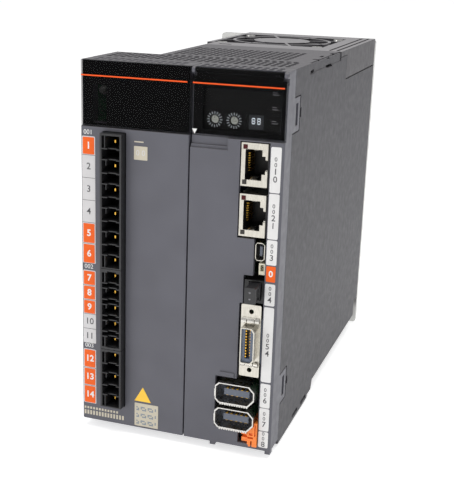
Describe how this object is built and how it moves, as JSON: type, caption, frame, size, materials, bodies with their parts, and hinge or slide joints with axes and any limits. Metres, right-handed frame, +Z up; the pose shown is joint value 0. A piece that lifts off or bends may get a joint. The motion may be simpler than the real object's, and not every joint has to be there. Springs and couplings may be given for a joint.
{
  "type": "servo drive",
  "caption": "Cabinet-mounted servo drive: deep grey case with a shallow power wing, plug-in headers and sockets on the front, hinged smoked display cover, and a lift-out fan unit on top.",
  "frame": {"origin": "on the mounting plate's rear face, at the middle of the drive's width and height", "axes": "+X to the right seen from the front, +Y out of the rear face into the wall, +Z up; the front faces -Y"},
  "size_m": [0.09, 0.1985, 0.168],
  "materials": {
    "cast_aluminium": "fine cast, satin",
    "screw_steel": "nickel plated",
    "module_grey": "moulded, fine grain",
    "standoff_brass": "turned",
    "board_green": "solder mask",
    "capacitor_sleeve": "shrink sleeve",
    "transformer_tape": "tape and ferrite",
    "relay_blue": "moulded",
    "chip_black": "moulded epoxy",
    "lamp_clear": "clear lens",
    "case_grey": "fine spark-eroded grain",
    "cover_grey": "fine spark-eroded grain",
    "smoked_window": "polished smoked plastic",
    "smoked_cover": "polished smoked plastic",
    "stripe_orange": "printed stripe",
    "bezel_black": "moulded",
    "display_black": "polished",
    "switch_white": "moulded",
    "knob_grey": "moulded",
    "header_black": "glass-filled plastic",
    "pin_gold": "gold plated",
    "shield_steel": "nickel plated sheet",
    "insert_black": "moulded",
    "lamp_red": "tinted lens",
    "lamp_grey": "clouded lens",
    "tongue_grey": "moulded",
    "insulator_blue": "moulded",
    "header_ivory": "moulded",
    "plug_black": "moulded",
    "encoder_steel": "nickel plated sheet",
    "socket_orange": "moulded",
    "fan_cover_grey": "fine spark-eroded grain",
    "fan_black": "glass-filled plastic"
  },
  "bodies": {
    "drive": {"mounting_plate": "cast_aluminium", "fin_base": "cast_aluminium", "cooling_fins": "cast_aluminium", "earth_screws": "screw_steel", "power_module": "module_grey", "rectifier_module": "module_grey", "board_standoffs": "standoff_brass", "power_board": "board_green", "board_screws": "screw_steel", "link_capacitors": "capacitor_sleeve", "transformer": "transformer_tape", "inrush_relay": "relay_blue", "current_sensors": "chip_black", "terminal_board": "board_green", "control_board": "board_green", "control_chips": "chip_black", "lamp_board": "board_green", "charge_lamp": "lamp_clear", "main_case": "case_grey", "power_cover": "cover_grey", "control_cover": "cover_grey", "charge_window": "smoked_window", "window_stripe": "stripe_orange", "display_bezel": "bezel_black", "display_board": "board_green", "segment_display": "display_black", "rotary_switch_bodies": "switch_white", "mains_header": "header_black", "link_header": "header_black", "motor_header": "header_black", "power_pins": "pin_gold", "upper_jack_shield": "shield_steel", "lower_jack_shield": "shield_steel", "upper_jack_insert": "insert_black", "lower_jack_insert": "insert_black", "jack_contacts": "pin_gold", "jack_lamps": "lamp_red", "jack_status_lamps": "lamp_grey", "usb_shell": "shield_steel", "usb_tongue": "tongue_grey", "monitor_header": "header_ivory", "safety_socket": "insert_black", "ribbon_plate": "shield_steel", "ribbon_shell": "shield_steel", "ribbon_insulator": "insulator_blue", "ribbon_contacts": "pin_gold", "upper_encoder_shell": "encoder_steel", "lower_encoder_shell": "encoder_steel", "encoder_inserts": "tongue_grey", "encoder_contacts": "pin_gold", "battery_socket": "socket_orange"},
    "display_cover": {"display_cover": "smoked_cover", "display_stripe": "stripe_orange"},
    "address_knob_left": {"address_knob_left": "knob_grey"},
    "address_knob_right": {"address_knob_right": "knob_grey"},
    "short_circuit_plug": {"short_circuit_plug": "plug_black"},
    "fan_unit": {"fan_cover": "fan_cover_grey", "fan_frame": "fan_black", "fan_screws": "screw_steel"},
    "fan_rotor": {"fan_rotor": "fan_black"}
  },
  "joints": [
    {"name": "display_cover_hinge", "type": "hinge", "parent": "drive", "child": "display_cover", "pos_m": [0.025, -0.1897, 0.0826], "axis": [-1, 0, 0], "range_deg": [0, 105]},
    {"name": "left_knob_turn", "type": "hinge", "parent": "drive", "child": "address_knob_left", "pos_m": [0.0141, -0.1872, 0.0628], "axis": [0, 1, 0], "continuous": true},
    {"name": "right_knob_turn", "type": "hinge", "parent": "drive", "child": "address_knob_right", "pos_m": [0.0224, -0.1872, 0.0628], "axis": [0, 1, 0], "continuous": true},
    {"name": "short_plug_slide", "type": "slide", "parent": "drive", "child": "short_circuit_plug", "axis": [0, -1, 0], "range_m": [0, 0.02]},
    {"name": "fan_unit_lift", "type": "slide", "parent": "drive", "child": "fan_unit", "axis": [0, 0, 1], "range_m": [0, 0.04]},
    {"name": "fan_spin", "type": "hinge", "parent": "fan_unit", "child": "fan_rotor", "pos_m": [0.0032, -0.048, 0.07], "axis": [0, 0, 1], "continuous": true}
  ]
}
